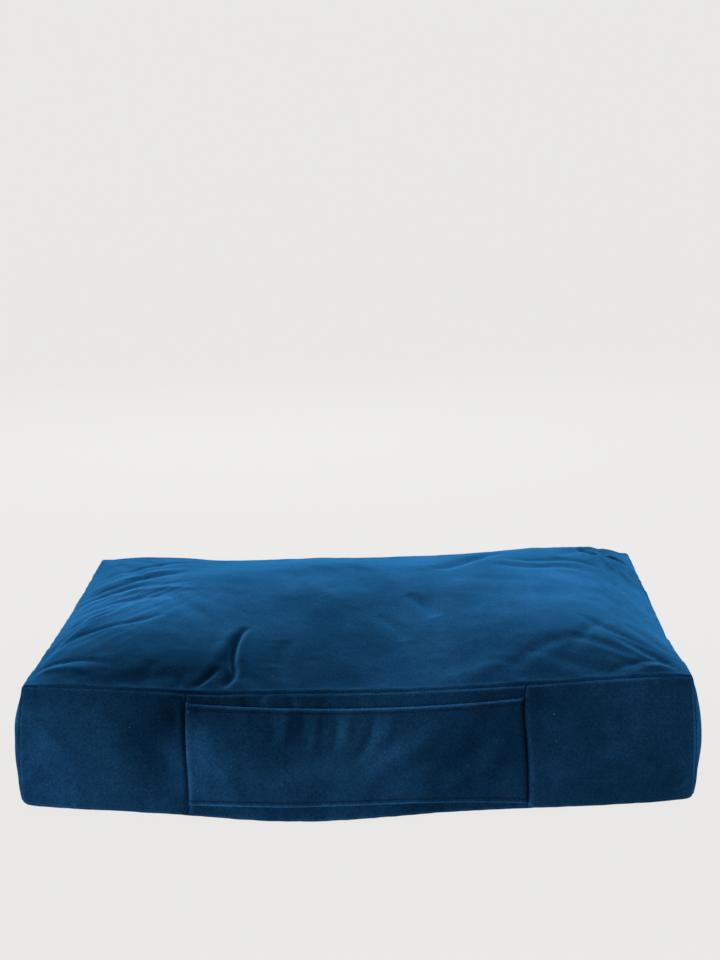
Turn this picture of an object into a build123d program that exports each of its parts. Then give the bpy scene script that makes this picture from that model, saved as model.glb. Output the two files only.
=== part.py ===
"""A boxed pet cushion bed: a velvet cover with a wide carry handle and a zip, round a filled inner pad.

The bed stands on the floor at z = 0, filled and zipped. +X runs along its long side, -Y is the front wall,
which carries the handle, and +Z is up. The shapes are drawn about the middle of the cover's base, and bed()
then moves them along Y, so that the origin is the middle of the whole bed's footprint, handle and zip
included. All sizes are in millimetres.
"""

import os
from math import atan, degrees

from build123d import *

# The cover's overall shape
WIDTH = 900.0  # between the corner seams, along X
DEPTH = 680.0  # between the corner seams, along Y
WALL_HEIGHT = 170.0  # floor to top seam
CROWN = 50.0  # height of the top's middle above the top seam
CROWN_POWER = 4  # higher is flatter in the middle and steeper at the seams
FRONT_BOW = 28.0  # how far the filled front wall bows out between its corners
SIDE_BOW = 8.0  # the same on the two side walls; the zip keeps the back wall straight
CLOTH = 1.5  # velvet and its backing
GAP = 0.5  # air between layers that aren't sewn face to face
BACK_Y = DEPTH / 2  # the back wall's outer face

# The carry handle on the front wall, a face and a lining hemmed together
HANDLE_LENGTH = 456.0  # between the two seams that hold it
HANDLE_BOTTOM, HANDLE_TOP = 12.0, 152.0
HANDLE_LAYER = 1.4  # each of the two layers
HAND_GAP = 12.0  # room behind the handle at its middle
HEM = 7.0  # from the handle's edge to its line of stitching
HANDLE_STITCH_END = 4.0  # from the handle's seams to the ends of the stitching

# Sewing thread
STITCH_LENGTH, STITCH_PITCH, THREAD = 3.4, 4.2, 0.5
THREAD_GAP = 0.05  # between the thread and the cloth it lies on

# The zip in the back wall
ZIP_Z = 75.0
ZIP_WINDOW = 12.0  # height of the gap in the wall that the zip closes
COIL_LENGTH, COIL_HEIGHT, COIL_DEPTH = 780.0, 3.0, 2.0
COIL_GAP = 1.0  # between the two coils, where the slider's web runs
TAPE_LENGTH, TAPE_HEIGHT, TAPE_THICK = 810.0, 16.0, 0.6
TAPE_GAP = 0.3  # between the tapes and the wall they are sewn behind
ZIP_STITCH_OFFSET = 10.5  # from the zip's middle to each line of stitching
ZIP_STITCH_END = 6.0  # from the tapes' ends to the ends of the stitching
STOP_LENGTH = 3.0
WINDOW_END = COIL_LENGTH / 2 + STOP_LENGTH + 2.0
TAPE_Y = BACK_Y - CLOTH - TAPE_GAP - TAPE_THICK
COIL_Y = TAPE_Y + TAPE_THICK

# The slider, which rests at the zip's closed end: length along X, height along Z
SLIDER_REST_X = 380.0
SLIDER_LENGTH, SLIDER_HEIGHT, SLIDER_PLATE, SLIDER_CORNER_R = 13.0, 9.5, 1.2, 2.0
RUN_GAP = 0.4  # between the slider and what it slides over
RIM_HEIGHT, RIM_DEPTH = 0.8, 1.2
WEB_LENGTH, WEB_THICK = 5.0, 0.6
ARCH_LENGTH, ARCH_WIDTH, ARCH_RISE, ARCH_CORNER_R = 9.0, 2.4, 3.4, 1.6
PLATE_Y = COIL_Y + COIL_DEPTH + RUN_GAP
PLATE_FACE = PLATE_Y + SLIDER_PLATE
SLIDER_BACK = PLATE_FACE + ARCH_RISE

# The puller, whose pin turns in the slider's arch
PIN_R, PIN_HOLE_R = 0.9, 1.0
PIN_Y = BACK_Y + 3.5
PULLER_LENGTH, PULLER_WIDTH, PULLER_THICK, PULLER_CORNER_R = 32.0, 8.0, 1.6, 2.2
PULLER_START = 7.0  # from the pin to where the two arms join
PULLER_HOLE_R, PULLER_HOLE_END = 1.8, 6.0
ARM_WIDTH = 1.3

# The inner pad
LINER = 0.6
LINER_INSET = 6.0  # from the cover's outer face
FOAM_TOP = 85.0
FOAM_CORNER_R = 15.0
FOAM_INSET = LINER_INSET + LINER + GAP
LINER_LOW = CLOTH + GAP
TOP_DROP = CLOTH + GAP  # from the top panel's outer face to the liner
LABEL_WIDTH, LABEL_HEIGHT, LABEL_THICK = 40.0, 34.0, 0.4
LABEL_X, LABEL_Z = -300.0, 39.5

EVERYWHERE = (-WIDTH, WIDTH)
FRONT_REACH = DEPTH / 2 + FRONT_BOW + HAND_GAP + 2 * HANDLE_LAYER + THREAD_GAP + THREAD
ORIGIN_SHIFT = (FRONT_REACH - SLIDER_BACK) / 2
OUT = "parts"


def outline(inset):
    """The cover's plan as a face, drawn in from the outer face by inset."""
    x, y = WIDTH / 2 - inset, DEPTH / 2 - inset
    edges = [
        ThreePointArc((-x, -y), (0, -y - FRONT_BOW), (x, -y)),
        ThreePointArc((x, -y), (x + SIDE_BOW, 0), (x, y)),
        Line((x, y), (-x, y)),
        ThreePointArc((-x, y), (-x - SIDE_BOW, 0), (-x, -y)),
    ]
    return make_face(edges)


def plate(inset, low, high):
    """A flat layer with the cover's plan."""
    return Pos(0, 0, low) * extrude(outline(inset), high - low)


def ring(inset, thick, low, high):
    """An upright band that follows the cover's plan."""
    return Pos(0, 0, low) * extrude(outline(inset) - outline(inset + thick), high - low)


def block(x, y, z):
    """A box between three pairs of limits."""
    size = [high - low for low, high in (x, y, z)]
    middle = [(high + low) / 2 for low, high in (x, y, z)]
    return Pos(*middle) * Box(*size)


def above_and_below(side, near, far):
    """A pair of heights on one side of the zip's middle, lower one first."""
    return sorted(ZIP_Z + side * z for z in (near, far))


def quarter(sx, sy):
    """The space between two neighbouring corner seams, on the side that (sx, sy) points to."""
    near = (sx * WIDTH - sy * WIDTH, sy * DEPTH - sx * DEPTH)
    far = (sx * WIDTH + sy * WIDTH, sy * DEPTH + sx * DEPTH)
    return extrude(make_face(Polyline((0, 0), near, far, close=True)), WALL_HEIGHT)


def crowned_face(inset, drop):
    """The top's domed surface, drawn in by inset and lowered by drop."""
    steps = [i / 6 - 1 for i in range(13)]
    rows = []
    for v in steps:
        row = []
        for u in steps:
            x = u * (WIDTH / 2 - inset + SIDE_BOW * (1 - v * v))
            y = v * (DEPTH / 2 - inset) - FRONT_BOW * (1 - u * u) * (1 - v) / 2
            dome = (1 - u**CROWN_POWER) * (1 - v**CROWN_POWER)
            row.append((x, y, WALL_HEIGHT - drop + CROWN * dome))
        rows.append(row)
    return Face.make_surface_from_array_of_points(rows, tol=0.005, max_deg=6)


def domed_layer(inset, drop, thick):
    """A layer that follows the domed top, measured straight down."""
    return extrude(crowned_face(inset, drop), thick, dir=(0, 0, -1))


def stitches(path_y, z, reach):
    """A line of lockstitch lying on the cloth, one solid for each stitch."""
    count = int(2 * reach / STITCH_PITCH)
    made = []
    for i in range(count):
        x = (i - (count - 1) / 2) * STITCH_PITCH
        turn = degrees(atan((path_y(x + 1) - path_y(x - 1)) / 2))
        made.append(Pos(x, path_y(x), z) * Rot(0, 0, turn) * Box(STITCH_LENGTH, THREAD, THREAD))
    return Compound(made)


def cover_walls():
    """The side panels. The front is three pieces, because the handle's ends are sewn in between them."""
    walls = ring(0, CLOTH, CLOTH, WALL_HEIGHT)
    front, back = walls & quarter(0, -1), walls & quarter(0, 1)
    seam = HANDLE_LENGTH / 2
    full = (0, WALL_HEIGHT)
    window = (ZIP_Z - ZIP_WINDOW / 2, ZIP_Z + ZIP_WINDOW / 2)
    return {
        "front_wall_left": front & block((-WIDTH, -seam), EVERYWHERE, full),
        "front_wall_centre": front & block((-seam, seam), EVERYWHERE, full),
        "front_wall_right": front & block((seam, WIDTH), EVERYWHERE, full),
        "side_wall_left": walls & quarter(-1, 0),
        "side_wall_right": walls & quarter(1, 0),
        "back_wall_upper": back & block(EVERYWHERE, EVERYWHERE, (window[1], WALL_HEIGHT)),
        "back_wall_lower": back & block(EVERYWHERE, EVERYWHERE, (0, window[0])),
        "zip_end_tab_left": back & block((-WIDTH, -WINDOW_END), EVERYWHERE, window),
        "zip_end_tab_right": back & block((WINDOW_END, WIDTH), EVERYWHERE, window),
    }


def handle_path(out):
    """The two ends and the middle of an arc behind the handle's back face, further out by out."""
    seam = HANDLE_LENGTH / 2
    wall_y = -DEPTH / 2 - FRONT_BOW * (1 - (seam / (WIDTH / 2)) ** 2)
    middle_y = -DEPTH / 2 - FRONT_BOW
    return (-seam, wall_y - GAP - out), (0, middle_y - HAND_GAP - out), (seam, wall_y - GAP - out)


def handle_layer(near, far):
    """One layer of the handle, between two distances from its back face."""
    inner, outer = handle_path(near), handle_path(far)
    edges = [
        ThreePointArc(*inner),
        Line(inner[2], outer[2]),
        ThreePointArc(*outer),
        Line(outer[0], inner[0]),
    ]
    return Pos(0, 0, HANDLE_BOTTOM) * extrude(make_face(edges), HANDLE_TOP - HANDLE_BOTTOM)


def handle():
    """The lining lies behind the face. Their ends meet the wall at its two seams."""

    def stitch_y(x):
        """Just off the face, whose shallow arc is close to a parabola."""
        (seam, end_y), middle_y = handle_path(2 * HANDLE_LAYER)[2], handle_path(2 * HANDLE_LAYER)[1][1]
        return middle_y + (end_y - middle_y) * (x / seam) ** 2 - THREAD / 2 - THREAD_GAP

    reach = HANDLE_LENGTH / 2 - HANDLE_STITCH_END
    return {
        "handle_lining": handle_layer(0, HANDLE_LAYER),
        "handle_face": handle_layer(HANDLE_LAYER, 2 * HANDLE_LAYER),
        "handle_stitches_upper": stitches(stitch_y, HANDLE_TOP - HEM, reach),
        "handle_stitches_lower": stitches(stitch_y, HANDLE_BOTTOM + HEM, reach),
    }


def zip_halves():
    """For each half of the zip, its tape, its coil and the thread that holds the tape behind the wall."""

    def stitch_y(x):
        return BACK_Y + THREAD / 2 + THREAD_GAP

    tape_x = (-TAPE_LENGTH / 2, TAPE_LENGTH / 2)
    coil_x = (-COIL_LENGTH / 2, COIL_LENGTH / 2)
    coil_y = (COIL_Y, COIL_Y + COIL_DEPTH)
    made = {}
    for half, side in (("upper", 1), ("lower", -1)):
        tape_z = above_and_below(side, COIL_GAP / 2, TAPE_HEIGHT)
        coil_z = above_and_below(side, COIL_GAP / 2, COIL_GAP / 2 + COIL_HEIGHT)
        stitch_z = ZIP_Z + side * ZIP_STITCH_OFFSET
        made[f"zip_tape_{half}"] = block(tape_x, (TAPE_Y, COIL_Y), tape_z)
        made[f"zip_coil_{half}"] = block(coil_x, coil_y, coil_z)
        made[f"zip_stitches_{half}"] = stitches(stitch_y, stitch_z, TAPE_LENGTH / 2 - ZIP_STITCH_END)
    return made


def zip_stops():
    """One stop across both coils where the zip opens to, and one on each coil where it closes."""
    near, far = COIL_LENGTH / 2 + GAP, COIL_LENGTH / 2 + GAP + STOP_LENGTH
    stop_y = (COIL_Y, COIL_Y + COIL_DEPTH)
    reach = COIL_GAP / 2 + COIL_HEIGHT
    top = [block((near, far), stop_y, above_and_below(side, COIL_GAP / 2, reach)) for side in (1, -1)]
    return {
        "zip_top_stops": Compound(top),
        "zip_bottom_stop": block((-far, -near), stop_y, (ZIP_Z - reach, ZIP_Z + reach)),
    }


def slider_plate(low_y):
    """One of the slider's two rounded plates, with its inner or outer face at low_y."""
    x = (-SLIDER_LENGTH / 2, SLIDER_LENGTH / 2)
    z = (-SLIDER_HEIGHT / 2, SLIDER_HEIGHT / 2)
    shape = block(x, (low_y, low_y + SLIDER_PLATE), z)
    return fillet(shape.edges().filter_by(Axis.Y), SLIDER_CORNER_R)


def zip_slider():
    """Two plates joined by a thin web between the coils, with an arch for the puller's pin."""
    inner_y = TAPE_Y - RUN_GAP - SLIDER_PLATE
    web_x = (-WEB_LENGTH / 2, WEB_LENGTH / 2)
    web = block(web_x, (inner_y + SLIDER_PLATE, PLATE_Y), (-WEB_THICK / 2, WEB_THICK / 2))
    body = slider_plate(PLATE_Y) + slider_plate(inner_y) + web
    rim_x = (SLIDER_CORNER_R - SLIDER_LENGTH / 2, SLIDER_LENGTH / 2 - SLIDER_CORNER_R)
    for side in (1, -1):
        rim_z = sorted(side * z for z in (SLIDER_HEIGHT / 2 - RIM_HEIGHT, SLIDER_HEIGHT / 2))
        body += block(rim_x, (PLATE_Y - RIM_DEPTH, PLATE_Y), rim_z)
    arch_x = (-ARCH_LENGTH / 2, ARCH_LENGTH / 2)
    arch = block(arch_x, (PLATE_FACE, SLIDER_BACK), (-ARCH_WIDTH / 2, ARCH_WIDTH / 2))
    body += fillet(arch.edges().filter_by(Axis.Z).group_by(Axis.Y)[-1], ARCH_CORNER_R)
    body -= Pos(0, PIN_Y, 0) * Cylinder(PIN_HOLE_R, SLIDER_HEIGHT)
    return Pos(SLIDER_REST_X, 0, ZIP_Z) * body


def zip_puller():
    """A flat tab with two arms, joined by the pin that turns in the slider's arch."""
    y = (PIN_Y - PULLER_THICK / 2, PIN_Y + PULLER_THICK / 2)
    tab = block((-PULLER_LENGTH, -PULLER_START), y, (-PULLER_WIDTH / 2, PULLER_WIDTH / 2))
    tab = fillet(tab.edges().filter_by(Axis.Y), PULLER_CORNER_R)
    hole = Rot(90, 0, 0) * Cylinder(PULLER_HOLE_R, 2 * PULLER_THICK)
    tab -= Pos(PULLER_HOLE_END - PULLER_LENGTH, PIN_Y, 0) * hole
    arm_low = ARCH_WIDTH / 2 + RUN_GAP
    puller = tab + Pos(0, PIN_Y, 0) * Cylinder(PIN_R, 2 * (arm_low + ARM_WIDTH))
    for side in (1, -1):
        arm_z = sorted(side * z for z in (arm_low, arm_low + ARM_WIDTH))
        puller += block((-PULLER_START - PULLER_CORNER_R, 0), y, arm_z)
    return Pos(SLIDER_REST_X, 0, ZIP_Z) * puller


def inner_pad():
    """A waterproof liner round a foam slab, with loose fibre fill above the foam."""
    foam_low = LINER_LOW + LINER + GAP
    foam = plate(FOAM_INSET, foam_low, FOAM_TOP)
    fill_height = (FOAM_TOP + GAP, WALL_HEIGHT + CROWN)
    fill = domed_layer(FOAM_INSET, TOP_DROP + LINER + GAP, WALL_HEIGHT)
    wall_top = WALL_HEIGHT - TOP_DROP - LINER - GAP
    return {
        "liner_top": domed_layer(CLOTH + GAP, TOP_DROP, LINER),
        "liner_wall": ring(LINER_INSET, LINER, LINER_LOW + LINER, wall_top),
        "liner_base": plate(LINER_INSET, LINER_LOW, LINER_LOW + LINER),
        "foam_slab": fillet(foam.edges().filter_by(Axis.Z), FOAM_CORNER_R),
        "fibre_fill": fill & block(EVERYWHERE, EVERYWHERE, fill_height),
    }


def care_label():
    """A blank label sewn inside the back wall."""
    x = (LABEL_X - LABEL_WIDTH / 2, LABEL_X + LABEL_WIDTH / 2)
    outer = BACK_Y - CLOTH - GAP
    return block(x, (outer - LABEL_THICK, outer), (LABEL_Z - LABEL_HEIGHT / 2, LABEL_Z + LABEL_HEIGHT / 2))


def bed():
    """Every sub-part by its name, placed about the middle of the whole bed's footprint."""
    nodes = {
        "cover_top_panel": domed_layer(CLOTH + GAP, 0, CLOTH),
        "cover_base_panel": plate(0, 0, CLOTH),
        "care_label": care_label(),
        "zip_slider": zip_slider(),
        "zip_puller": zip_puller(),
    }
    for group in (cover_walls, handle, zip_halves, zip_stops, inner_pad):
        nodes |= group()
    return {name: Pos(0, ORIGIN_SHIFT, 0) * shape for name, shape in nodes.items()}


os.makedirs(OUT, exist_ok=True)
for name, shape in bed().items():
    export_step(shape, f"{OUT}/{name}.step")
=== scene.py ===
"""The looks of a boxed velvet pet cushion bed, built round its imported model.

The cover's panels start as smooth surfaces between seam curves. A cloth simulation wrinkles them over the
filling, and each panel is then cut out, given rolled seam edges and fine puckers, and dressed in velvet.
"""

import math

import bpy
import numpy as np
from mathutils import Matrix, Vector, noise


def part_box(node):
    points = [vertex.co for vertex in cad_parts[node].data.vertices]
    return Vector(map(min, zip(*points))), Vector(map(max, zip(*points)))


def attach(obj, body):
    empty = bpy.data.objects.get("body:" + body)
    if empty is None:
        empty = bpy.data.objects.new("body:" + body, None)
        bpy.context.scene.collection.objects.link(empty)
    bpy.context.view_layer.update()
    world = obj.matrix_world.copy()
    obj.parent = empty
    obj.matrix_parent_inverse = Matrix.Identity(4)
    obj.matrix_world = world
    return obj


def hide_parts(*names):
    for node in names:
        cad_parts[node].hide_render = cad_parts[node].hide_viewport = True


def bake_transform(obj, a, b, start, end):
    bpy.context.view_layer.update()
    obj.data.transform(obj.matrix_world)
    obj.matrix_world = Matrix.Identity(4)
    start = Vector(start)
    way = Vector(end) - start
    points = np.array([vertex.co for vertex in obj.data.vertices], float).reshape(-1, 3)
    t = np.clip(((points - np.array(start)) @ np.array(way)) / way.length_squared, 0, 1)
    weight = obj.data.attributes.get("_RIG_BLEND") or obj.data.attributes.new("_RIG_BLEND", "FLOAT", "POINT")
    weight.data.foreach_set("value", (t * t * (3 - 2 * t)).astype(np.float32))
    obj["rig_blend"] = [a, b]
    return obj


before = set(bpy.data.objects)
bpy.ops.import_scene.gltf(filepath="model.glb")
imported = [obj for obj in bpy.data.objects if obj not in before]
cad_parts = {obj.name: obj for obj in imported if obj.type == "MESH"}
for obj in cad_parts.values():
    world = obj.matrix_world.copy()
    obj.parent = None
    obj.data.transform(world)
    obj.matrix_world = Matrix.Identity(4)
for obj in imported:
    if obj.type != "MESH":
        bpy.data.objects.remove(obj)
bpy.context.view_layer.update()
MM = 0.001

# Places read from the frame
LEFT, RIGHT = (end.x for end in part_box("back_wall_upper"))
FRONT, BACK = (end.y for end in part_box("side_wall_left"))
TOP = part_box("back_wall_upper")[1].z
HANDLE_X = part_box("front_wall_centre")[1].x
ZIP_LOW, ZIP_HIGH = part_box("back_wall_lower")[1].z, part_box("back_wall_upper")[0].z
ZIP_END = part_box("zip_end_tab_right")[0].x
ZIP_Z = (ZIP_LOW + ZIP_HIGH) / 2
ZIP_STITCH_Z = sum(end.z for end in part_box("zip_stitches_upper")) / 2 - ZIP_Z
HALF_X, MIDDLE_Y = RIGHT, (BACK + FRONT) / 2

CELL = 8 * MM  # the simulated cloth's squares
CUT_LARGER = 1.02  # the cloth is cut this much larger than the filling
VELVET = 1.3 * MM  # thickness of the velvet
ALLOWANCE = 7 * MM  # the cloth inside a seam
LEAN = 1.2 * MM  # how far an allowance leans back under its panel
STITCH_PITCH, STITCH_LENGTH, STITCH_SIDES = 4.2 * MM, 3.3 * MM, 6


# ---- seams of the filled cover


def bell(x, middle, width):
    return np.exp(-(((x - middle) / width) ** 2))


def arch(x):
    """1 in the middle of the long side, 0 at its corners."""
    return np.clip(1 - (x / HALF_X) ** 2, 0, 1)


def top_front(x):
    """The seam sags in the middle, and its right half stands higher than the left one."""
    y = FRONT - 12 * MM * arch(x)
    z = TOP + (7 + 4 * x / HALF_X) * MM - 14 * MM * arch(x) ** 1.5 - 3 * MM * bell(x, -0.2, 0.07)
    z = z - 4 * MM * np.clip(x / HALF_X, 0, 1) ** 8
    return np.stack([x, y, z], -1)


def top_back(x):
    z = TOP + 12 * MM - 11 * MM * arch(x) ** 0.8
    return np.stack([x, BACK - 4 * MM + 0 * x, z], -1)


def bottom_z(x):
    """The seam lies near the floor, and rises to the corners."""
    return 2 * MM + 7 * MM * np.abs(x / HALF_X) ** 6


def flared(x):
    """The lower seam's corners stand further out than the upper ones, most of all on the left."""
    return x + (6 - 2 * np.sign(x)) * MM * (x / HALF_X) ** 5


def bottom_front(x):
    """The filling pushes this seam out past the one above, most of all left of the middle."""
    y = FRONT - 2 * MM - 24 * MM * arch(x) ** 0.6 - 38 * MM * bell(x, -0.075, 0.17) * arch(x) ** 0.3
    return np.stack([flared(x), y, bottom_z(x)], -1)


def bottom_back(x):
    return np.stack([flared(x), BACK - 3 * MM + 0 * x, bottom_z(x)], -1)


def side_seam(y, x, front_seam, back_seam, outward, sag):
    """A seam along the side at x, between two corners, moved outward and down in its middle."""
    t = ((y - FRONT) / (BACK - FRONT))[..., None]
    middle = np.sin(np.pi * np.clip(t, 0, 1)) ** 0.8
    first, last = (seam(np.array([x]))[0] for seam in (front_seam, back_seam))
    return first + (last - first) * t + middle * np.array([math.copysign(1, x) * outward, 0, -sag])


def top_side(y, x):
    """The seams along the sides are pulled in between their corners."""
    seam = side_seam(y, x, top_front, top_back, -3 * MM, 4 * MM)
    if x > 0:
        seam[..., 0] -= 5 * MM * bell(y, -0.1, 0.12)
    return seam


def bottom_side(y, x):
    return side_seam(y, x, bottom_front, bottom_back, 3 * MM, 5 * MM)


# ---- panels between the seams


def over(us, vs):
    """Two parameters, each as an array over both."""
    return np.meshgrid(us, vs, indexing="ij")


def edge_distance(us, vs):
    """How far each place of a grid is from the grid's nearest edge."""
    u, v = over(us, vs)
    return np.minimum.reduce([u - us[0], us[-1] - u, v - vs[0], vs[-1] - v])


def coons(front, back, side):
    """A surface over XS and YS that meets the seams along its four edges."""
    u = ((XS - LEFT) / (RIGHT - LEFT))[:, None, None]
    v = ((YS - FRONT) / (BACK - FRONT))[None, :, None]
    front, back = front(XS)[:, None], back(XS)[:, None]
    left, right = side(YS, LEFT)[None], side(YS, RIGHT)[None]
    at_left = (1 - v) * front[:1] + v * back[:1]
    at_right = (1 - v) * front[-1:] + v * back[-1:]
    corners = (1 - u) * at_left + u * at_right
    return (1 - v) * front + v * back + (1 - u) * left + u * right - corners


def rise(distance, reach):
    """From 0 at a seam to 1 well inside a panel."""
    return 1 - np.exp(-np.maximum(distance, 0) / reach)


def crown_share(x, y):
    """How much of its crown the top has: none at its seams, all of it well inside."""
    return rise(x - LEFT, 0.04) * rise(RIGHT - x, 0.033) * rise(y - FRONT, 0.055) * rise(BACK - y, 0.032)


# Mounds and hollows of the top: height in millimetres, then the place and the reach in x and in y
MOUNDS = [
    (9, 0.37, 0.12, 0.24, 0.13),
    (-9, -0.3, 0.15, 0.3, 0.1),
    (-17, -0.06, 0.22, 0.02, 0.16),
    (5, -0.36, 0.1, 0.2, 0.16),
]


def top_panel():
    """Plump at the seams, with a shallow hollow where the pet lies."""
    surface = coons(top_front, top_back, top_side)
    x, y = over(XS, YS)
    crown = 40 * MM
    for height, place_x, reach_x, place_y, reach_y in MOUNDS:
        crown = crown + height * MM * bell(x, place_x, reach_x) * bell(y, place_y, reach_y)
    surface[..., 2] += crown * crown_share(x, y)
    return surface


def wall_grid(bottom, top, outward, bulge, reach=0.05):
    """A wall between a lower and an upper seam. It bulges outward, and by less at its corner seams."""
    low, high = bottom[:, None, 2], top[:, None, 2]
    under_zip = low + (ZIP_LOW - low) * HS / ZIP_LOW
    over_zip = ZIP_HIGH + (high - ZIP_HIGH) * (HS - ZIP_HIGH) / (TOP - ZIP_HIGH)
    z = np.where(HS <= ZIP_LOW, under_zip, np.where(HS <= ZIP_HIGH, HS + 0 * low, over_zip))
    t = (z - low) / (high - low)
    surface = bottom[:, None] + (top - bottom)[:, None] * t[..., None]
    surface[..., 2] = z
    swell = 4 * t * (1 - t)
    along = np.linspace(0, 1, len(bottom))
    length = np.linalg.norm(bottom[-1] - bottom[0])
    near = np.minimum(along, 1 - along)[:, None] * length
    surface += (swell * rise(near, reach))[..., None] * bulge * np.array(outward)
    across = np.abs(outward)[[1, 0, 2]]
    for side, corner in ((along, outward - across), (1 - along, outward + across)):
        pull = (np.exp(-side * length / 0.02)[:, None] * swell)[..., None]
        surface += pull * 4 * MM * corner
    return surface


def back_panel():
    """The zip holds the back wall in one plane along its middle."""
    surface = wall_grid(bottom_back(XS), top_back(XS), (0, 1, 0), 0)
    below = np.sin(np.pi / 2 * np.clip(HS / ZIP_LOW, 0, 1))
    above = np.cos(np.pi / 2 * np.clip((HS - ZIP_HIGH) / (TOP - ZIP_HIGH), 0, 1))
    hold = (below * above)[None] * rise(HALF_X - np.abs(XS), 0.012)[:, None]
    surface[..., 1] += hold * (BACK - surface[..., 1])
    return surface


def base_panel():
    """Flat on the floor, and rolled up to its seam round the edge."""
    surface = coons(bottom_front, bottom_back, bottom_side)
    surface[..., 2] *= np.exp(-edge_distance(XS, YS) / 0.009)
    return surface


def division(breaks, cell):
    """Even steps of about a cell between each pair of breaks."""
    made = [np.array(breaks[:1])]
    for low, high in zip(breaks, breaks[1:]):
        count = max(1, round((high - low) / cell))
        made.append(np.linspace(low, high, count + 1)[1:])
    return np.concatenate(made)


XS = division([LEFT, -ZIP_END, -HANDLE_X, HANDLE_X, ZIP_END, RIGHT], CELL)
YS = division([FRONT, BACK], CELL)
HS = division([0, ZIP_LOW, ZIP_HIGH, TOP], CELL)


def leaning():
    """How far the seams at the handle's ends stand sideways from upright."""
    t = HS[None] / TOP
    right = bell(XS, HANDLE_X, 0.09)[:, None] * np.sin(np.pi * t**3)
    left = bell(XS, -HANDLE_X, 0.09)[:, None] * np.sin(np.pi * (1 - t) ** 3)
    return 4 * MM * left - 5 * MM * right


def smooth_cover():
    """The filled cover before it wrinkles: for each side of the box, its two parameters and its points."""
    front = wall_grid(bottom_front(XS), top_front(XS), (0, -1, 0), 9 * MM)
    front[..., 0] += leaning()
    sides = {
        "top": (XS, YS, top_panel()),
        "base": (XS, YS, base_panel()),
        "front": (XS, HS, front),
        "back": (XS, HS, back_panel()),
    }
    for name, x, outward in (("left", LEFT, (-1, 0, 0)), ("right", RIGHT, (1, 0, 0))):
        wall = wall_grid(bottom_side(YS, x), top_side(YS, x), outward, 21 * MM, 0.022)
        sides[name] = YS, HS, wall
    return sides


# Which way round each side's grid is wound, so that its faces look outward
FLIPPED = {"top": False, "base": True, "front": False, "back": True, "left": True, "right": False}


def grid_faces(n, m, flipped, start=0):
    i, j = np.meshgrid(np.arange(n - 1), np.arange(m - 1), indexing="ij")
    a = (start + i * m + j).ravel()
    loop = [a, a + m, a + m + 1, a + 1]
    return np.stack(loop[::-1] if flipped else loop, -1)


def weld(surfaces):
    """One mesh of several sides without repeated points: points, faces, and each side's point numbers."""
    points = np.concatenate([surface.reshape(-1, 3) for surface in surfaces.values()])
    keys = np.round(points / (0.01 * MM)).astype(int)
    unused, first, number = np.unique(keys, axis=0, return_index=True, return_inverse=True)
    number = number.ravel()
    faces, grids, start = [], {}, 0
    for name, surface in surfaces.items():
        n, m = surface.shape[:2]
        faces.append(number[grid_faces(n, m, FLIPPED[name], start)])
        grids[name] = number[start : start + n * m].reshape(n, m)
        start += n * m
    return points[first], np.concatenate(faces), grids


def normals_of(points, faces):
    """The welded mesh's normals, by area."""
    a, b, c, d = (points[faces[:, k]] for k in range(4))
    face_normals = np.cross(c - a, d - b)
    total = np.zeros_like(points)
    for k in range(4):
        np.add.at(total, faces[:, k], face_normals)
    return total / np.maximum(np.linalg.norm(total, axis=1, keepdims=True), 1e-12)


# ---- wrinkles by cloth simulation


def blur_noise(points, size, seed):
    """Smooth noise from -1 to 1 at each point, with lumps of about that size."""
    offset = Vector((seed * 7.31, seed * 3.17, seed * 5.83))
    values = [noise.noise(Vector(p) / size + offset) for p in points.reshape(-1, 3)]
    return np.reshape(values, points.shape[:-1])


def in_scene(name, data):
    """A new object, put in the scene."""
    made = bpy.data.objects.new(name, data)
    bpy.context.scene.collection.objects.link(made)
    return made


CLOTH = {
    "quality": 6,
    "mass": 0.25,
    "tension_stiffness": 40,
    "compression_stiffness": 40,
    "shear_stiffness": 12,
    "bending_stiffness": 0.35,
    "tension_damping": 12,
    "compression_damping": 12,
    "shear_damping": 12,
    "air_damping": 2,
    "vertex_group_mass": "hold",
    "pin_stiffness": 1.0,
    "use_pressure": True,
    "uniform_pressure_force": 1.0,
}


def simulate(points, faces, rest, hold):
    """Lets a sheet of cloth that is cut a little too large settle on the filling under it."""
    frames = 24
    mesh = bpy.data.meshes.new("cloth")
    mesh.from_pydata(points.tolist(), [], faces.tolist())
    cloth = in_scene("cloth", mesh)
    cloth.shape_key_add(name="Basis")
    cut = cloth.shape_key_add(name="cut")
    cut.data.foreach_set("co", rest.ravel())
    group = cloth.vertex_groups.new(name="hold")
    for level in np.unique(hold):
        group.add(np.flatnonzero(hold == level).tolist(), float(level), "REPLACE")
    modifier = cloth.modifiers.new("cloth", "CLOTH")
    modifier.point_cache.frame_end = frames
    settings = modifier.settings
    for name, value in CLOTH.items():
        setattr(settings, name, value)
    settings.rest_shape_key = cut
    settings.effector_weights.gravity = 0
    scene = bpy.context.scene
    for number in range(1, frames + 1):
        scene.frame_set(number)
    settled = cloth.evaluated_get(bpy.context.evaluated_depsgraph_get()).to_mesh()
    moved = np.zeros(len(points) * 3)
    settled.vertices.foreach_get("co", moved)
    scene.frame_set(1)
    bpy.data.objects.remove(cloth)
    return moved.reshape(-1, 3)


# ---- sewn panels


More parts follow.
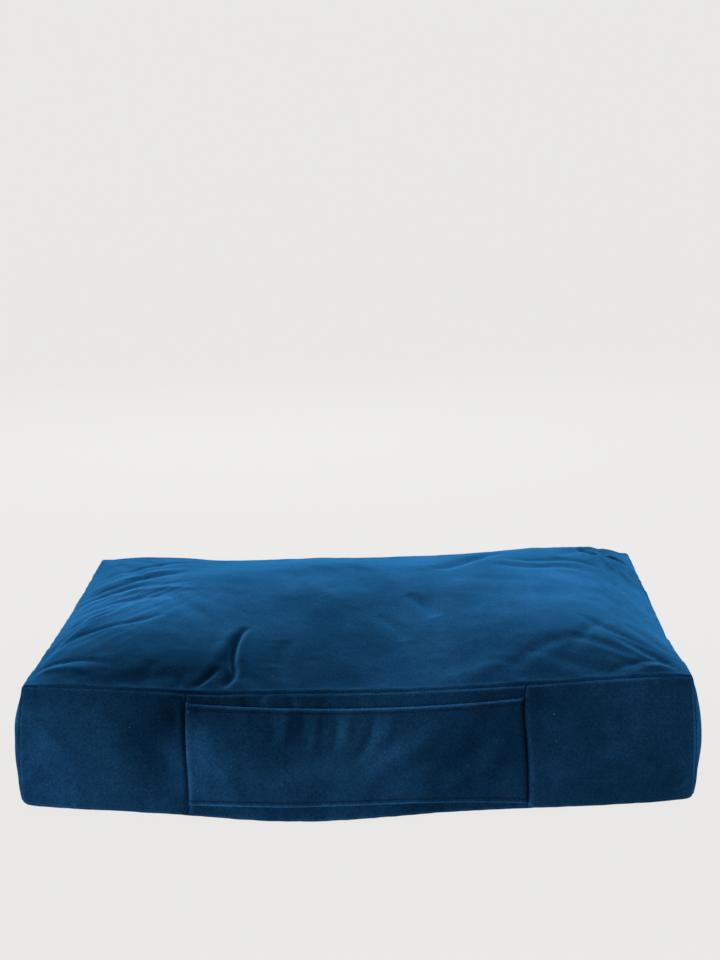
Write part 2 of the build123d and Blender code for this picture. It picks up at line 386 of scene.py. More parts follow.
def spline(values, at, new_at):
    """Values given along the first axis at some places, read at others on a smooth curve."""
    slopes = np.gradient(values, at, axis=0)
    k = np.clip(np.searchsorted(at, new_at, side="right") - 1, 0, len(at) - 2)
    shape = (-1,) + (1,) * (values.ndim - 1)
    step = (at[k + 1] - at[k]).reshape(shape)
    t = ((new_at - at[k]) / (at[k + 1] - at[k])).reshape(shape)
    return (
        (2 * t**3 - 3 * t**2 + 1) * values[k]
        + (t**3 - 2 * t**2 + t) * step * slopes[k]
        + (3 * t**2 - 2 * t**3) * values[k + 1]
        + (t**3 - t**2) * step * slopes[k + 1]
    )


def resample(surface, us, vs, new_us, new_vs):
    first = spline(surface, us, new_us)
    return spline(first.swapaxes(0, 1), vs, new_vs).swapaxes(0, 1)


SEAM_STEPS = [1.0 * MM, 2.4 * MM, 4.4 * MM, 7.0 * MM]  # the finer rows beside a seam


def fine_division(low, high, cell):
    """Like division, with finer rows beside both ends."""
    inner = division([low + SEAM_STEPS[-1] + cell * 0.8, high - SEAM_STEPS[-1] - cell * 0.8], cell)
    steps = np.array(SEAM_STEPS)
    return np.concatenate([[low], low + steps, inner, high - steps[::-1], [high]])


def unit(v):
    return v / np.maximum(np.linalg.norm(v, axis=-1, keepdims=True), 1e-12)


def mesh_object(name, points, faces, material):
    """A new smooth-shaded mesh in the scene."""
    mesh = bpy.data.meshes.new(name)
    mesh.from_pydata(np.asarray(points).reshape(-1, 3).tolist(), [], [list(f) for f in faces])
    mesh.polygons.foreach_set("use_smooth", [True] * len(mesh.polygons))
    mesh.materials.append(material)
    mesh.update()
    return in_scene(name, mesh)


def grid_object(name, points, flipped, material):
    return mesh_object(name, points, grid_faces(*points.shape[:2], flipped), material)


def store_painted_light(piece, amount):
    """Keeps at each point the painted light: a painted highlight above zero, and painted shade below it,
    partly where the pile is pressed in seams and hems.
    """
    attribute = piece.data.attributes.new("painted_light_and_pressed_pile", "FLOAT", "POINT")
    attribute.data.foreach_set("value", np.asarray(amount, np.float32).ravel())


def solidify(piece, thickness):
    """Gives a sheet its thickness, inward from the face that shows."""
    shell = piece.modifiers.new("thickness", "SOLIDIFY")
    shell.thickness = thickness
    shell.offset = -1
    shell.use_even_offset = False


def sewn_panel(name, side, u_range, v_range, cell, hem=None):
    """One panel of the cover, cut out of a side of the settled cover.

    Its edges roll inward to the seams, and go on inside as seam allowances. An edge beside the zip is a
    hem: hem is "low" or "high", the end of v that it is at. A tab is sewn flat between both hems.
    """
    us, vs, surface, normals = SIDES[side]
    new_us, new_vs = fine_division(*u_range, cell * MM), fine_division(*v_range, cell * MM)
    points = resample(surface, us, vs, new_us, new_vs)
    out = unit(resample(normals, us, vs, new_us, new_vs))
    u, v = over(new_us, new_vs)
    detail = DETAILS[side](u, v) if side in DETAILS else 0 * u
    points += out * detail[..., None]
    from_low, from_high = v - v_range[0], v_range[1] - v
    from_either = np.minimum(from_low, from_high)
    from_hem = {"low": from_low, "high": from_high, "both": from_either}.get(hem, 1 + 0 * v)
    sewn = [u - u_range[0], u_range[1] - u]
    ends = (("low", from_low), ("high", from_high))
    sewn += [distance for end, distance in ends if hem not in (end, "both")]
    points += out * (seam_profile(points, np.minimum.reduce(sewn)) + hem_profile(from_hem))[..., None]
    # Painted light: a painted highlight at the seams, painted shade in their grooves, and painted light and
    # shade on the slopes of the folds.
    painted_light_and_pressed_pile = seam_painted_light(side, points, from_high, np.minimum.reduce([*sewn, from_hem]))
    painted_light_and_pressed_pile = np.pad(painted_light_and_pressed_pile + painted_slope_light(detail, new_us, new_vs), 1)
    points = with_allowance(points, out)
    points, out = points.swapaxes(0, 1), np.concatenate([out[:1], out, out[-1:]]).swapaxes(0, 1)
    depths = [0.4 * MM if hem == end else ALLOWANCE for end in ("low", "high")]
    lean = 0.0 if hem == "both" else LEAN
    points = with_allowance(points, out, *depths, lean).swapaxes(0, 1)
    piece = grid_object(name, points, FLIPPED[side], VELVET_MATERIAL)
    store_painted_light(piece, painted_light_and_pressed_pile)
    solidify(piece, VELVET)
    return piece


def seam_painted_light(side, points, from_high, distance):
    """A painted highlight here and there where a wall turns over into a seam, and painted shade in the
    seam's groove, where the pile is also pressed. On the top, painted shade beside the seams, where the pile
    is also pressed down.
    """
    if side == "top":
        return -0.2 * bell(distance, 2 * MM, 4 * MM)
    seam_highlight = 0.7 * bell(distance, 2 * MM, 1.5 * MM)
    seam_highlight = np.maximum(seam_highlight, bell(from_high, 1.5 * MM, 1.5 * MM))
    patchy = 0.65 + 0.7 * blur_noise(points, 0.07, 6)
    return seam_highlight * patchy - 0.3 * bell(distance, 0, 1 * MM)


def painted_slope_light(height, us, vs):
    """Painted light on the folds: lighter on the slopes that face up and to the left, as if lit from there,
    and darker on the others.
    """
    slope = np.gradient(height, us, axis=0) - 0.5 * np.gradient(height, vs, axis=1)
    return np.clip(0.9 * slope, -0.7, 0.4)


def seam_profile(points, distance):
    """How far the cloth stands out beside a seam: a groove, then a low ridge over the allowances."""
    groove = -2.4 * MM * np.clip(1 - distance / (2.6 * MM), 0, 1) ** 2
    ridge = 1.0 * MM * bell(distance, 4.2 * MM, 3.0 * MM)
    near = distance < 30 * MM
    pucker = np.zeros(distance.shape)
    pucker[near] = blur_noise(points[near], 0.013, 5) * np.exp(-distance[near] / (9 * MM)) * 0.8 * MM
    return groove + ridge + pucker * np.clip(distance / (2 * MM), 0, 1)


def hem_profile(distance):
    """A folded edge, pressed down by the row of stitches that holds the zip."""
    turned = -0.6 * MM * np.clip(1 - distance / (1.2 * MM), 0, 1) ** 2
    return turned - 0.35 * MM * bell(distance, ZIP_STITCH_Z - (ZIP_HIGH - ZIP_Z), 1.2 * MM)


def with_allowance(points, normals, start_depth=ALLOWANCE, end_depth=ALLOWANCE, lean=LEAN):
    """Adds a row at both ends of the first axis, turned inward from the seam."""
    start = points[0] - normals[0] * start_depth + unit(points[3] - points[0]) * lean
    end = points[-1] - normals[-1] * end_depth + unit(points[-4] - points[-1]) * lean
    return np.concatenate([start[None], points, end[None]])


# ---- folds placed one by one


def fold(u, v, path, width, height):
    """A soft crease along a path of a few points, highest in its middle."""
    line = spline(path, np.arange(len(path)), np.linspace(0, len(path) - 1, 8 * len(path)))
    best, place = np.full(u.shape, np.inf), np.zeros(u.shape)
    for k, (a, b) in enumerate(zip(line, line[1:])):
        d = b - a
        t = np.clip(((u - a[0]) * d[0] + (v - a[1]) * d[1]) / (d @ d), 0, 1)
        distance = np.hypot(u - a[0] - t * d[0], v - a[1] - t * d[1])
        closer = distance < best
        best[closer] = distance[closer]
        place[closer] = ((k + t) / (len(line) - 1))[closer]
    return height * np.sin(np.pi * place) ** 0.7 * bell(best, 0, width)


def folds(u, v, table):
    """All the folds of a table."""
    return sum(
        fold(u, v, np.reshape(path, (-1, 2)) * MM, width * MM, height * MM)
        for width, height, *path in table
    )


def streaks(along, across, length, width, seed):
    """Long narrow ripples, from -1 to 1."""
    return blur_noise(np.stack([along / length, across / width, 0 * along], -1), 1, seed)


# Each fold is its width, its height and the places along its path, in millimetres. A crease is below zero.
TOP_FOLDS = [
    # From the left seam towards the hollow
    (8, -3.4, -440, 87, -385, 83, -336, 96, -280, 97),
    (12, 3, -440, 112, -380, 106, -330, 118, -270, 120),
    (10, -2.4, -440, 170, -370, 165, -310, 180, -240, 170),
    (10, 3, -437, 20, -398, 24, -348, 26, -283, 15, -240, 5),
    (8, -3, -435, 48, -390, 50, -340, 56, -260, 45),
    (8, -2.6, -437, -30, -400, -20, -350, -12, -280, -20),
    (7, -3, -442, -240, -430, -169, -413, -112, -379, -67, -335, -14),
    (11, 3.2, -430, -260, -415, -180, -395, -120, -360, -75, -310, -20),
    (7, -3, -438, -232, -407, -175, -372, -148, -330, -130, -280, -100),
    (6, -2.2, -440, -130, -425, -90, -395, -50, -350, -35),
    # The front left corner
    (8, 2.6, -441, -305, -425, -282, -389, -283, -350, -295),
    (6, -2.4, -445, -280, -420, -262, -380, -262, -340, -270),
    # The pinch in front of the hollow, and small folds beside it
    (6, -13, -160, -150, -169, -190, -172, -235, -168, -275, -178, -310),
    (6, 4.5, -157, -160, -163, -200, -160, -250, -157, -290),
    (8, 2.5, -180, -160, -186, -210, -185, -250),
    (12, 2.5, -190, -200, -196, -250, -200, -280),
    (5, -4.5, -188, -265, -203, -288, -219, -312),
    (8, -2.6, -281, -260, -285, -305),
    (5, -2.4, -242, -285, -236, -314),
    (10, -2.2, -100, -190, -105, -240, -95, -280),
    # Right of the hollow
    (15, -6, 225, 200, 181, 149, 154, 108, 120, 58),
    (13, -4.5, 75, -50, 100, -85, 115, -130),
    (12, -3, 30, -120, 60, -160, 70, -200),
    (15, 2.2, 110, -300, 179, -285, 206, -250),
    (13, -2.6, 205, -287, 258, -237, 310, -215),
    (11, -2, 280, -270, 326, -200, 357, -150),
    (12, -2.4, 200, 100, 260, 90, 320, 110, 370, 100),
    (9, -2.2, 220, 140, 270, 125, 340, 150, 390, 130),
    # The corners on the right
    (9, -5, 345, 250, 385, 235, 415, 232, 441, 240),
    (9, 1.2, 360, 300, 400, 290, 435, 300),
    (12, -3, 330, 330, 380, 310, 430, 250),
    (6, 2.4, 360, -318, 400, -304, 436, -307),
    (5, -1.8, 330, -312, 380, -292, 430, -286),
]

FRONT_FOLDS = [
    (13, -2.8, -325, 145, -296, 120, -252, 70, -235, 40),
    (16, 2, -360, 140, -325, 100, -280, 50),
    (12, 2, -440, 140, -420, 115, -385, 80, -360, 50),
    (8, -1.8, -440, 30, -410, 40, -380, 25),
    (6, -1.8, -250, 165, -245, 140, -240, 120),
    (6, -4, -155, 166, -145, 152, -135, 130),
    (7, 3.5, -120, 166, -115, 155, -100, 135),
    (5, -4, -90, 166, -85, 150, -88, 130),
    (8, 2, -30, 166, -20, 150, -20, 120),
    (14, 1.8, 260, 30, 310, 45, 380, 35),
    (15, -1.8, 300, 150, 330, 110, 340, 70),
    (6, -2, 410, 30, 425, 20, 440, 30),
]

SIDE_FOLDS = [
    (15, 2.4, -250, 150, -200, 100, -170, 50),
    (9, -2.6, -100, 160, -90, 120, -110, 80),
    (13, 2, 0, 155, 20, 110, 10, 70),
    (10, -2.6, 100, 160, 120, 120, 160, 80),
    (14, 2.2, 230, 150, 250, 100, 300, 60),
    (10, -2, 50, 20, 100, 40, 150, 30),
    (10, -2, -220, 20, -170, 35, -120, 20),
]


def top_detail(x, y):
    """Creases and folds of the top, and the fine ripples that fan out to its side seams."""
    made = folds(x, y, TOP_FOLDS)
    middle_x, middle_y = -0.15, 0.1
    radius = np.hypot(x - middle_x, y - middle_y)
    angle = np.arctan2(y - middle_y, middle_x - x)
    across = angle * 0.3
    fan = streaks(radius, across, 0.16, 0.013, 21) + 0.6 * streaks(radius, across, 0.09, 0.007, 22)
    made += 1.5 * MM * fan * bell(x, -0.37, 0.1) * bell(y, 0.0, 0.2)
    along, across = y - 3.2 * (x - 0.4), x + 0.26 * y
    strip = bell(x, 0.4, 0.045) * bell(y, 0.06, 0.2)
    made += 3.0 * MM * strip * streaks(along, across, 0.12, 0.009, 23)
    made += 0.9 * MM * streaks(x, y, 0.07, 0.05, 24) * crown_share(x, y)
    return made * np.clip(crown_share(x, y) * 4, 0, 1)


def wall_detail(u, h):
    """Soft unevenness of a wall, and short ripples beside its seams."""
    made = 0.8 * MM * streaks(u, h, 0.06, 0.045, 31)
    near = np.exp(-np.minimum(h, TOP - h) / 0.022)
    return made + 0.9 * MM * near * streaks(h, u, 0.06, 0.012, 32)


def front_detail(x, h):
    """The cloth is drawn in beside the handle's sewn ends."""
    beside = np.exp(-(((h - 0.082) / 0.078) ** 8))
    drawn_in = 4 * MM * bell(np.abs(x), HANDLE_X + 1 * MM, 4 * MM) * beside
    return folds(x, h, FRONT_FOLDS) + wall_detail(x, h) - drawn_in


def side_detail(y, h):
    return folds(y, h, SIDE_FOLDS) + wall_detail(y, h)


def back_detail(x, h):
    """The back wall is held flat along its zip."""
    loose = rise(np.abs(h - ZIP_Z) - 0.013, 0.02)
    return (wall_detail(x, h) + 0.4 * MM * streaks(x, h, 0.03, 0.08, 33)) * loose


# ---- the carry handle


def along_rows(values, at, new_at):
    """Each row of values read at that row's own places."""
    return np.stack([spline(row, at, places) for row, places in zip(values, new_at)])


def on_side(side, u, v):
    """Points and outward normals of a settled side, at one list of u and, for each, a row of v."""
    us, vs, surface, normals = SIDES[side]
    points = along_rows(spline(surface, us, u), vs, v)
    return points, unit(along_rows(spline(normals, us, u), vs, v))


def wall_height(x, z):
    """The front wall's own height parameter where the cloth is at height z."""
    low, high = bottom_front(x)[..., 2], top_front(x)[..., 2]
    below = (z - low) * ZIP_LOW / (ZIP_LOW - low)
    above = ZIP_HIGH + (z - ZIP_HIGH) * (TOP - ZIP_HIGH) / (high - ZIP_HIGH)
    return np.where(z < ZIP_LOW, below, np.where(z > ZIP_HIGH, above, z))


HANDLE_LOW, HANDLE_HIGH = (end.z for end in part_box("handle_face"))
HANDLE_THICK = 3.2 * MM
HEM = HANDLE_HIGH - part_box("handle_stitches_upper")[1].z + 0.25 * MM

# Soft folds in the handle, given in the same way. Most hang from its upper hem.
HANDLE_FOLDS = [
    (7, 1.8, -150, 150, -145, 130, -140, 110),
    (5, -2, -115, 146, -110, 120, -110, 100),
    (6, 2.8, -90, 146, -92, 120, -95, 100),
    (4, -2, -72, 146, -70, 130, -72, 110),
    (6, 3, -52, 146, -53, 120, -60, 90),
    (5, -2.4, -28, 146, -26, 120, -30, 90),
    (6, 2.4, -6, 146, -10, 120, -12, 100),
    (7, -3, 20, 146, 22, 125, 10, 95, -10, 80),
    (7, 2, 50, 146, 45, 120, 35, 100),
    (16, 4.5, 130, 130, 90, 100, 40, 75, 10, 45),
    (16, -3.5, 190, 120, 140, 75, 100, 45),
    (12, 2.5, 210, 120, 190, 80, 160, 50),
    (16, 3, -205, 140, -190, 90, -170, 50),
    (12, -2.5, -165, 100, -150, 70, -140, 30),
    (14, 2.5, -120, 50, -50, 60, 20, 40),
]


def handle_places(xs, shares):
    """The handle's middle layer: its points, its normals and how far it bows off the wall."""
    u = (xs / HANDLE_X)[:, None]
    open_share = np.clip(1 - u * u, 0, 1)
    high = HANDLE_HIGH + (0.9 + 1.3 * u - 7.5 * open_share) * MM
    low = HANDLE_LOW + (2.0 - 3.5 * u + 10.5 * open_share) * MM
    z = low + (high - low) * shares[None]
    points, normals = on_side("front", xs, wall_height(xs[:, None], z))
    normals = unit(normals * np.array([1, 1, 0.4]))
    stand_off = 3.5 * MM + 8 * MM * open_share**0.8 * (0.75 + 0.25 * np.abs(2 * shares[None] - 1) ** 2)
    x = xs[:, None] + 0 * z
    edge = np.minimum(shares, 1 - shares)[None]
    flare = np.exp(-edge * (HANDLE_HIGH - HANDLE_LOW) / (20 * MM))
    wave = blur_noise(np.stack([x, 0 * x, z], -1), 0.05, 9) * MM * (0.6 + flare)
    stand_off = stand_off + (folds(x, z, HANDLE_FOLDS) + wave) * open_share**0.3
    return points + normals * stand_off[..., None], normals, stand_off


def handle_layer(name, front):
    """The face or the lining. Both roll over at the hems, where they meet."""
    xs = division([-HANDLE_X + 0.6 * MM, HANDLE_X - 1.4 * MM], 4 * MM)
    span = HANDLE_HIGH - HANDLE_LOW
    steps = np.array([0, 0.5, 1.2, 2.2, 3.6, 5.0, 6.2, 7.0, 7.8, 9.0, 11.0]) * MM / span
    middle = np.linspace(14 * MM / span, 1 - 14 * MM / span, 28)
    shares = np.concatenate([steps, middle, 1 - steps[::-1]])
    points, normals, stand_off = handle_places(xs, shares)
    edge = np.minimum(shares, 1 - shares) * span
    half = HANDLE_THICK / 2
    round_over = half * np.sqrt(np.clip(1 - (1 - edge / half).clip(0, 1) ** 2, 0, 1))
    puff = 0.5 * MM * bell(edge, HEM / 2, HEM / 3) - 0.75 * MM * bell(edge, HEM, 1.0 * MM)
    puff = puff + 0.35 * MM * bell(edge, HEM + 2.2 * MM, 1.6 * MM)
    out = round_over + puff * (1 if front else 0.4)
    seam = np.minimum(xs - xs[0], xs[-1] - xs)[:, None]
    pinch = np.clip(seam / (3 * MM), 0, 1) ** 0.5
    sign = 1 if front else -1
    points = points + sign * normals * (out[None] * (0.6 + 0.4 * pinch))[..., None]
    # Painted light and shade: the handle's left end lighter and its right end darker, as if lit from the
    # left; a painted highlight along the rolled edges, and painted shade in the hem's stitched groove, where
    # the pile is also pressed.
    painted_end_light = np.where(xs < 0, 0.9, -0.8)[:, None] * bell(seam, 1 * MM, 2.5 * MM)
    painted_light_and_pressed_pile = bell(edge, 1.2 * MM, 1.3 * MM)[None] + painted_end_light + painted_slope_light(stand_off, xs, shares * span)
    painted_light_and_pressed_pile = np.pad(painted_light_and_pressed_pile - 0.8 * bell(edge, HEM, 0.9 * MM)[None], ((1, 1), (0, 0)))
    points = with_allowance(points, normals, 6 * MM, 6 * MM, 0.2 * MM)
    piece = grid_object(name, points, not front, VELVET_MATERIAL)
    store_painted_light(piece, painted_light_and_pressed_pile)
    solidify(piece, 1.0 * MM)
    return piece


def tube_faces(rings, sides, first=0):
    """The faces of a tube whose points are numbered from first on, closed at both ends."""
    faces = []
    for start in range(first, first + sides * (rings - 1), sides):
        for k in range(sides):
            a, b = start + k, start + (k + 1) % sides
            faces.append((a, b, b + sides, a + sides))
    faces.append(range(first, first + sides)[::-1])
    faces.append(range(first + sides * (rings - 1), first + sides * rings))
    return faces


def stitch_row(name, points, normals, lift, thread):
    """One small arched strand for each stitch. It dips into the cloth at both ends."""
    normals = normals[:, 0]
    centres = points[:, 0] + normals * lift
    along = unit(np.gradient(centres, axis=0))
    across = np.cross(along, normals)
    rings = ((-1, 0.35), (-0.7, 0.85), (0, 1), (0.7, 0.85), (1, 0.35))  # each one's place and thickness
    turns = 2 * math.pi / STITCH_SIDES * np.arange(STITCH_SIDES)
    points, faces = [], []
    for centre, t, n, w in zip(centres, along, normals, across):
        faces += tube_faces(len(rings), STITCH_SIDES, len(points))
        for place, thick in rings:
            middle = centre + t * place * STITCH_LENGTH / 2 + n * thread * (0.25 - 0.7 * place**2)
            for turn in turns:
                points.append(middle + thread / 2 * thick * (math.cos(turn) * w + math.sin(turn) * n))
    return mesh_object(name, points, faces, THREAD_MATERIAL)


def handle_stitches(name, upper):
    """A row of stitches along one hem, in its groove."""
    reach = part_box("handle_stitches_upper")[1].x
    share = HEM / (HANDLE_HIGH - HANDLE_LOW)
    shares = np.array([1 - share if upper else share])
    places = handle_places(division([-reach, reach], STITCH_PITCH), shares)
    return stitch_row(name, *places[:2], HANDLE_THICK / 2 - 0.7 * MM, 0.6 * MM)


def stands_for(node):
    """The piece takes the place of a plain CAD node, which is hidden."""
    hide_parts(node)


def bow_with_handle(piece):
    """The handle's ends stay in their seams, and its middle follows the handle's body."""
    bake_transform(piece, "cover", "handle", start=(-HANDLE_X, 0, 0), end=(0, 0, 0))
    x = np.array([v.co.x for v in piece.data.vertices])
    weight = np.clip(1 - (x / HANDLE_X) ** 2, 0, 1) ** 1.2
    piece.data.attributes["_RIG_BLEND"].data.foreach_set("value", weight.astype(np.float32))


# ---- the zip


def zip_coil(name, end, sign):
    """A tape's row of nylon loops. Half a step apart, the two rows lock into each other."""
    low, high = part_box("zip_coil_" + end)
    middle = (low + high) / 2
    reach_z, reach_y = (high.z - low.z) / 2 + 0.7 * MM, (high.y - low.y) / 2 - 0.35 * MM
    step, radius, corners, sides = 1.5 * MM, 0.33 * MM, 9, 5
    k = np.arange(round((high.x - low.x - step) / step) * corners + 1)
    angle = 2 * math.pi * k / corners
    lobe = 1 + 0.12 * np.cos(2 * angle)
    x = low.x + (0.5 + 0.25 * sign) * step + step * k / corners
    y = middle.y + reach_y * np.sin(angle)
    z = middle.z - sign * (0.35 * MM + reach_z * np.cos(angle) * 0.82 * lobe)
    path = np.stack([x, y, z], -1)
    along = unit(np.gradient(path, axis=0))
    first = unit(np.cross(along, np.array([1.0, 0.02, 0.03])))
    second = np.cross(along, first)
    turn = (2 * math.pi * np.arange(sides) / sides)[None, :, None]
    points = path[:, None] + radius * (first[:, None] * np.cos(turn) + second[:, None] * np.sin(turn))
    return mesh_object(name, points, tube_faces(len(path), sides), COIL_MATERIAL)


def zip_stitches(name, sign):
    """The row of stitches that sews a tape behind the hem."""
    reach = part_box("zip_stitches_upper")[1].x
    xs = division([-reach, reach], STITCH_PITCH)
    places = on_side("back", xs, np.full((len(xs), 1), ZIP_Z + sign * ZIP_STITCH_Z))
    return stitch_row(name, *places, -0.2 * MM, 0.55 * MM)


def make_zip():
    for end, sign in (("upper", 1), ("lower", -1)):
        coil = zip_coil("nylon_zip_coil_" + end, end, sign)
        stitches = zip_stitches("thread_zip_" + end, sign)
        for piece, node, slot in ((coil, "zip_coil", "zip_coil"), (stitches, "zip_stitches", "thread")):
            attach(piece, "cover")
            stands_for(node + "_" + end)


# ---- the pad inside


def inner_skin(side, depth, seam_depth=6.5 * MM):
    """A side of the cover moved inward, further beside its seams and under its creases."""
    us, vs, surface, normals = SIDES[side]
    if side == "top":
        fine = division(us[[0, -1]], CELL / 2), division(vs[[0, -1]], CELL / 2)
        surface, normals = (resample(values, us, vs, *fine) for values in (surface, normals))
        us, vs = fine
    creases = np.minimum(DETAILS[side](*over(us, vs)), 0) if side in DETAILS else 0
    inward = depth + seam_depth * bell(edge_distance(us, vs), 0, 15 * MM) - creases
    return surface - unit(normals) * inward[..., None]


def liner(name, sides, depth):
    """A thin plain-woven sheet just inside the cover."""
    points, faces, unused = weld({side: inner_skin(side, depth) for side in sides})
    piece = mesh_object(name, points, faces, LINER_MATERIAL)
    solidify(piece, 0.8 * MM)
    return piece


def filling(name, top, bottom, rounding, material):
    """A closed body between a top and a bottom grid, with rounded sides."""
    n, m = top.shape[:2]
    grid = grid_faces(n, m, False)
    numbers = np.arange(n * m).reshape(n, m)
    loop = np.concatenate([numbers[:, 0], numbers[-1, 1:], numbers[-2::-1, -1], numbers[0, -2:0:-1]])
    flat_top, flat_bottom = top.reshape(-1, 3), bottom.reshape(-1, 3)
    points, rows = [flat_top, flat_bottom], [loop]
    for share in np.linspace(0, 1, 9)[1:-1]:
        ring = flat_top[loop] * (1 - share) + flat_bottom[loop] * share
        outward = unit((ring - flat_top.mean(0)) * np.array([1, 1, 0]))
        rows.append(sum(map(len, points)) + np.arange(len(loop)))
        points.append(ring + outward * rounding * math.sin(math.pi * share) ** 0.5)
    rows.append(loop + n * m)
    faces = [grid, (grid + n * m)[:, ::-1]]
    for above, below in zip(rows, rows[1:]):
        faces.append(np.stack([np.roll(above, -1), above, below, np.roll(below, -1)], -1))
    return mesh_object(name, np.concatenate(points), np.concatenate(faces), material)


def make_pad():
    """The inner pad: its liner, the loose fibre that makes the crown, and the foam under it."""
    top = liner("liner_cloth_top", ["top"], 3.2 * MM)
    wall = liner("liner_cloth_wall", ["front", "right", "back", "left"], 3.2 * MM)
    base = liner("liner_cloth_base", ["base"], 2.2 * MM)
    foam_top, foam_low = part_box("foam_slab")[1].z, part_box("liner_base")[1].z + 2.5 * MM
    inset, cell = 17 * MM, 12 * MM
    xs = division([LEFT + inset, RIGHT - inset], cell)
    ys = division([FRONT + inset, BACK - inset], cell)
    round_off = 9 * MM * np.exp(-edge_distance(xs, ys) / (6 * MM))
    upper = np.stack([*over(xs, ys), foam_top - 0.4 * round_off], -1)
    lower = np.stack([*over(xs, ys), foam_low + round_off], -1)
    foam = filling("foam_block", upper, lower, 4 * MM, FOAM_MATERIAL)
    crown = inner_skin("top", 6 * MM, 9 * MM)[1:-1, 1:-1]
    middle = np.array([0, MIDDLE_Y, 0])
    under = middle + (crown - middle) * np.array([0.985, 0.98, 0])
    under[..., 2] = foam_top + 2 * MM + 0.8 * MM * blur_noise(under, 0.05, 41)
    fibre = filling("fibre_wadding", crown, under, 5 * MM, FIBRE_MATERIAL)
    pieces = (
        (top, "liner_top", "liner"),
        (wall, "liner_wall", "liner"),
        (fibre, "fibre_fill", "fibre"),
        (base, "liner_base", "liner"),
        (foam, "foam_slab", "foam"),
    )
    for piece, node, slot in pieces:
        if piece in (top, wall, fibre):
            press_with_top(piece)
        else:
            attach(piece, "cover")
        stands_for(node)


def press_with_top(piece):
    """The crown sinks under a weight, most of all well inside the seams. The foam under it stays."""
    low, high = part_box("foam_slab")[1].z, TOP - 12 * MM
    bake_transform(piece, "cover", "cushion_top", start=(0, 0, low), end=(0, 0, high))
    values = piece.data.attributes["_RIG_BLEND"].data
    weight = np.zeros(len(values), np.float32)
    values.foreach_get("value", weight)
    places = np.array([v.co for v in piece.data.vertices])
    values.foreach_set("value", (weight * crown_share(places[:, 0], places[:, 1])).astype(np.float32))


def care_label():
    """A folded satin label, sewn to the inside of the back wall. It carries no print."""
    low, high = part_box("care_label")
    xs = np.linspace(low.x, high.x, 11)
    heights = np.linspace(low.z, high.z, 13)
    points, normals = on_side("back", xs, np.repeat(heights[None], len(xs), 0))
    curl = 1.2 * MM * np.clip((high.z - 12 * MM - heights) / (22 * MM), 0, 1) ** 2
    wave = 0.2 * MM * np.sin(9 * np.linspace(0, 1, len(xs)))[:, None] * (curl / MM)[None]
    points = points - normals * (1.5 * MM + curl[None] + wave)[..., None]
    piece = grid_object("satin_care_label", points, True, LABEL_MATERIAL)
    solidify(piece, 0.3 * MM)
    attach(piece, "cover")
    stands_for("care_label")


# ---- materials


def connect(source, socket):
    """Links an input to another node's output, or gives it a value."""
    if isinstance(source, bpy.types.NodeSocket):
        socket.id_data.links.new(source, socket)
    else:
        socket.default_value = source


def set_up(node, **values):
    """Gives a node its inputs and properties by name."""
    for name, value in values.items():
        label = name.replace("_", " ")
        if label in node.inputs:
            connect(value, node.inputs[label])
        else:
            setattr(node, name, value)
    return node


def add_node(tree, kind, **values):
    return set_up(tree.nodes.new("ShaderNode" + kind), **values)


def new_material(name, **values):
    """A material and its shader, with the shader's own values."""
    material = bpy.data.materials.new(name)
    material.use_nodes = True
    return material, set_up(material.node_tree.nodes["Principled BSDF"], **values)


def object_place(shader, stretch=(1, 1, 1)):
    """Where a point is on the object, in metres."""
    tree = shader.id_data
    place = add_node(tree, "TexCoord").outputs["Object"]
    return add_node(tree, "Mapping", Vector=place, Scale=stretch).outputs["Vector"]


def noise_node(place, scale, detail, roughness):
    made = add_node(place.id_data, "TexNoise", Vector=place)
    return set_up(made, Scale=scale, Detail=detail, Roughness=roughness).outputs["Fac"]


def ramp(value, *stops):
    """Colours along a value: each stop is a place and a colour, or one number for a grey."""
    made = add_node(value.id_data, "ValToRGB", Fac=value)
    elements = made.color_ramp.elements
    while len(elements) < len(stops):
        elements.new(0.5)
    for element, (place, colour) in zip(elements, stops):
        element.position = place
        element.color = (*np.broadcast_to(colour, 3).tolist(), 1)
    return made.outputs["Color"]


def shades(value, dark, light):
    """A ramp over the middle of a noise."""
    return ramp(value, (0.3, dark), (0.7, light))


def mixed(fac, a, b, blend="MIX"):
    made = add_node(a.id_data, "Mix", data_type="RGBA", blend_type=blend)
    for source, number in ((fac, 0), (a, 6), (b, 7)):
        connect(source, made.inputs[number])
    return made.outputs[2]


def times(a, b, share=1.0):
    return mixed(share, a, b, "MULTIPLY")


def math_node(operation, a, b, kind="Math"):
    made = add_node(a.id_data, kind, operation=operation)
    connect(a, made.inputs[0])
    connect(b, made.inputs[1])
    return made.outputs["Value"]


def bump(shader, height, strength, distance):
    """A relief on top of any that the shader already has."""
    made = add_node(shader.id_data, "Bump", Height=height, Strength=strength, Distance=distance)
    normal = shader.inputs["Normal"]
    if normal.is_linked:
        connect(normal.links[0].from_socket, made.inputs["Normal"])
    connect(made.outputs["Normal"], normal)


# Painted light and shade over the cover, partly stroked pile: a place and a reach in millimetres, and how
# much lighter it looks
PAINTED_LIGHT_AND_STROKED_PILE = [
    ((-270, -250, 190), 150, -0.6),
    ((-60, -270, 180), 170, -0.45),
    ((-380, 0, 200), 160, 0.8),
    ((270, 30, 220), 200, 0.35),
    ((280, 260, 220), 120, 0.2),
    ((450, 160, 200), 100, -0.5),
    ((300, -260, 200), 120, -0.3),
    ((20, -100, 200), 120, -0.1),
    ((-260, -340, 100), 70, -0.25),
    ((-460, -360, 80), 100, 0.9),
    ((-210, -380, 80), 60, 0.9),
    ((140, -370, 110), 100, -0.2),
    ((200, -370, 110), 70, -0.2),
    ((400, -330, 90), 120, -0.1),
]


